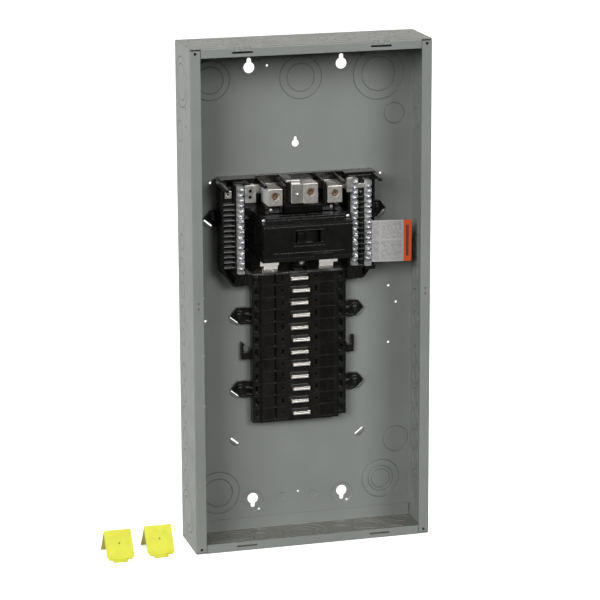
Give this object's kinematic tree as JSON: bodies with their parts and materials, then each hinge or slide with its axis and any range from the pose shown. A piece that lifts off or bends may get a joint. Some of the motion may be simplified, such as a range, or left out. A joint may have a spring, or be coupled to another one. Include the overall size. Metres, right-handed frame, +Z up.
{
  "type": "residential load center",
  "caption": "Open sheet-steel breaker panel box with a black plug-on interior, neutral bars, lugs and a two-pole main breaker, with two loose line-side barriers.",
  "frame": {"origin": "centre of the box's back face", "axes": "+Z up, +Y into the wall, +X right as seen from the front"},
  "size_m": [0.4947, 0.0953, 0.7584],
  "materials": {
    "painted_steel": "semi-gloss grey powder coat",
    "black_plastic": "moulded black thermoplastic",
    "breaker_plastic": "moulded black thermoset, finely textured",
    "aluminium": "extruded, bright",
    "tin_plate": "tin plated, bright",
    "zinc_steel": "zinc plated",
    "black_steel": "blackened",
    "copper": "bare copper",
    "fibre": "vulcanised fibre",
    "card": "matt printed card",
    "yellow_plastic": "moulded yellow plastic"
  },
  "bodies": {
    "box": {"enclosure_wrap": "painted_steel", "top_end_wall": "painted_steel", "bottom_end_wall": "painted_steel", "upper_base": "black_plastic", "rail_module_upper": "black_plastic", "rail_module_lower": "black_plastic", "trip_bar": "black_plastic", "main_breaker_base": "breaker_plastic", "main_breaker_cover": "breaker_plastic", "neutral_bar_left": "aluminium", "neutral_bar_right": "aluminium", "neutral_bar_far_right": "aluminium", "line_lug_a": "aluminium", "line_lug_b": "aluminium", "neutral_lug": "aluminium", "bus_bar_a": "tin_plate", "bus_bar_b": "tin_plate", "neutral_strap": "tin_plate", "neutral_bar_link": "tin_plate", "comb_clip": "tin_plate", "load_strap_a": "tin_plate", "load_strap_b": "tin_plate", "upper_ear_screw_left": "black_steel", "rail_screw_upper_left": "black_steel", "rail_screw_lower_left": "black_steel", "upper_ear_screw_right": "black_steel", "rail_screw_upper_right": "black_steel", "rail_screw_lower_right": "black_steel", "hold_down_screw": "zinc_steel", "neutral_strap_screw": "zinc_steel", "line_terminal_screw_a": "zinc_steel", "line_terminal_screw_b": "zinc_steel", "main_breaker_screw_a": "zinc_steel", "main_breaker_screw_b": "zinc_steel", "handle_pin": "zinc_steel", "line_strap_a": "copper", "line_strap_b": "copper", "bimetal_a": "copper", "bimetal_b": "copper", "arc_chute_a": "fibre", "arc_chute_b": "fibre", "hang_tag": "card", "line_barrier_left": "yellow_plastic", "line_barrier_right": "yellow_plastic"},
    "main_breaker_handle": {"main_breaker_handle": "breaker_plastic", "handle_spring": "zinc_steel"},
    "contact_crossbar": {"contact_crossbar": "black_plastic", "contact_arm_a": "copper", "contact_arm_b": "copper"},
    "line_lug_screw_a": {"line_lug_screw_a": "zinc_steel"},
    "line_lug_screw_b": {"line_lug_screw_b": "zinc_steel"},
    "neutral_lug_screw": {"neutral_lug_screw": "zinc_steel"}
  },
  "joints": [
    {"name": "main_breaker_throw", "type": "hinge", "parent": "box", "child": "main_breaker_handle", "pos_m": [0, -0.03, 0.09], "axis": [0, 0, 1], "range_deg": [0, 30]},
    {"name": "contact_swing", "type": "hinge", "parent": "box", "child": "contact_crossbar", "pos_m": [0, -0.026, 0.068], "axis": [-1, 0, 0], "range_deg": [0, 20]},
    {"name": "line_lug_screw_a_turn", "type": "hinge", "parent": "box", "child": "line_lug_screw_a", "pos_m": [-0.0456, -0.04, 0.1492], "axis": [0, -1, 0], "continuous": true},
    {"name": "line_lug_screw_b_turn", "type": "hinge", "parent": "box", "child": "line_lug_screw_b", "pos_m": [0.0456, -0.04, 0.1492], "axis": [0, -1, 0], "continuous": true},
    {"name": "neutral_lug_screw_turn", "type": "hinge", "parent": "box", "child": "neutral_lug_screw", "pos_m": [0.0086, -0.04, 0.153], "axis": [0, -1, 0], "continuous": true}
  ],
  "couplings": [
    {"joint": "contact_swing", "follows": "main_breaker_throw", "ratio": 0.6666}
  ]
}
